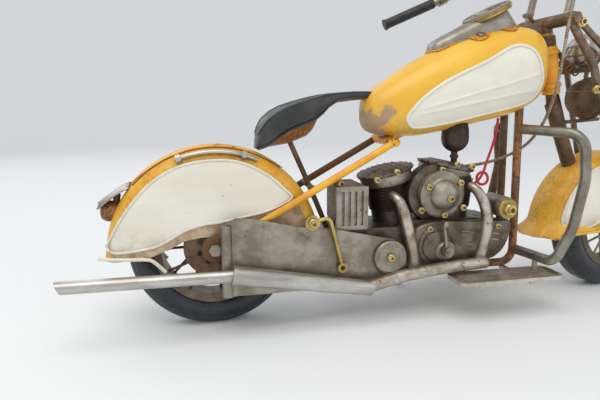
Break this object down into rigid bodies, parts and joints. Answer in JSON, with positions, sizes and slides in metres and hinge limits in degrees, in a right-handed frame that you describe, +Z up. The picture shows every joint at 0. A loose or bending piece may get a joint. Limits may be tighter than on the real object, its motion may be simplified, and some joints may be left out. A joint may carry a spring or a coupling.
{
  "type": "model motorcycle",
  "caption": "Hand-built sheet-metal model of a V-twin cruiser on a side stand, with turning fork, rolling wheels, levers, teardrop tank and deep mudguards.",
  "frame": {"origin": "on the floor under the middle of the whole model's bounding box", "axes": "+X forward, +Y to the rider's left, +Z up"},
  "size_m": [0.4666, 0.2076, 0.246],
  "materials": {
    "yellow_paint": "hand-painted satin enamel over sheet metal, rust at the edges",
    "cream_paint": "satin cream enamel",
    "worn_steel": "bare steel, dull and scuffed",
    "rusty_steel": "brown rusted steel",
    "cast_case": "aged cast metal",
    "brass": "dull brass",
    "dark_metal": "blackened metal",
    "tyre_rubber": "smooth black rubber",
    "saddle_leather": "black saddle covering",
    "saddle_pan": "orange painted pan, rusted",
    "grip_rubber": "matt black rubber",
    "red_wire": "red insulated wire",
    "braided_cable": "wound metal cable"
  },
  "bodies": {
    "frame": {"frame_spine": "yellow_paint", "downtube_left": "rusty_steel", "downtube_right": "rusty_steel", "rear_stays": "yellow_paint", "seat_post": "rusty_steel", "seat_pan": "saddle_pan", "seat_cushion": "saddle_leather", "rear_fender": "yellow_paint", "rear_fender_panels": "cream_paint", "fender_rail": "worn_steel", "tail_lamp": "rusty_steel", "fuel_tank": "yellow_paint", "tank_panels": "cream_paint", "dash_console": "worn_steel", "speedometer": "worn_steel", "chain_guard": "worn_steel", "battery_box": "rusty_steel", "battery_cover": "worn_steel", "crankcase": "cast_case", "gearcase_cover": "worn_steel", "rear_cylinder": "cast_case", "rear_head": "cast_case", "front_cylinder": "cast_case", "front_head": "cast_case", "air_cleaner": "worn_steel", "generator": "worn_steel", "fuel_bowl": "dark_metal", "tail_pipe": "worn_steel", "exhaust_sleeve": "worn_steel", "exhaust_collector": "worn_steel", "downpipes": "worn_steel", "crash_bar_left": "rusty_steel", "crash_bar_right": "worn_steel", "footboards": "worn_steel", "rear_axle": "worn_steel", "brass_fasteners": "brass", "ignition_lead": "red_wire", "throttle_cable": "braided_cable"},
    "fork": {"steering_stem": "rusty_steel", "top_yoke": "rusty_steel", "girders": "rusty_steel", "fork_spring": "rusty_steel", "front_fender": "yellow_paint", "front_fender_panels": "cream_paint", "headlight": "worn_steel", "horn": "rusty_steel", "handlebar": "worn_steel", "grips": "grip_rubber", "front_axle": "worn_steel"},
    "front_wheel": {"front_tyre": "tyre_rubber", "front_rim": "worn_steel", "front_spoked_hub": "worn_steel"},
    "rear_wheel": {"rear_tyre": "tyre_rubber", "rear_rim": "worn_steel", "rear_spoked_hub": "rusty_steel"},
    "stand": {"side_stand": "worn_steel"},
    "kick": {"kick_lever": "brass"},
    "shift": {"gear_lever": "worn_steel"},
    "brake": {"brake_lever": "dark_metal"},
    "clutch": {"clutch_lever": "dark_metal"}
  },
  "joints": [
    {"name": "steering", "type": "hinge", "parent": "frame", "child": "fork", "pos_m": [0.10981, 0.0097, 0.165], "axis": [-0.1736, 0, 0.9848], "range_deg": [-33, 17], "deforming": ["throttle_cable"]},
    {"name": "front_wheel_spin", "type": "hinge", "parent": "fork", "child": "front_wheel", "pos_m": [0.17636, 0.01611, 0.05009], "axis": [-0.1371, 0.9903, -0.0242], "continuous": true},
    {"name": "rear_wheel_spin", "type": "hinge", "parent": "frame", "child": "rear_wheel", "pos_m": [-0.13919, 0.0097, 0.055], "axis": [0, 1, 0], "continuous": true},
    {"name": "side_stand_fold", "type": "hinge", "parent": "frame", "child": "stand", "pos_m": [0.01081, 0.0247, 0.027], "axis": [0, 1, 0], "range_deg": [0, 85]},
    {"name": "kick_lever_swing", "type": "hinge", "parent": "frame", "child": "kick", "pos_m": [-0.07699, -0.0177, 0.0712], "axis": [0, -1, 0], "range_deg": [0, 55]},
    {"name": "gear_lever_swing", "type": "hinge", "parent": "frame", "child": "shift", "pos_m": [0.01841, -0.0195, 0.0455], "axis": [0, -1, 0], "range_deg": [-20, 20]},
    {"name": "brake_lever_pull", "type": "hinge", "parent": "fork", "child": "brake", "pos_m": [0.08396, -0.08113, 0.23471], "axis": [-0.3576, -0.1386, 0.9235], "range_deg": [-5, 0], "stiffness_Nm_per_rad": 0.02, "springref_deg": 8.59},
    {"name": "clutch_lever_pull", "type": "hinge", "parent": "fork", "child": "clutch", "pos_m": [0.05981, 0.09333, 0.23045], "axis": [-0.3879, 0.0804, 0.9182], "range_deg": [0, 5], "stiffness_Nm_per_rad": 0.02, "springref_deg": -8.59}
  ]
}
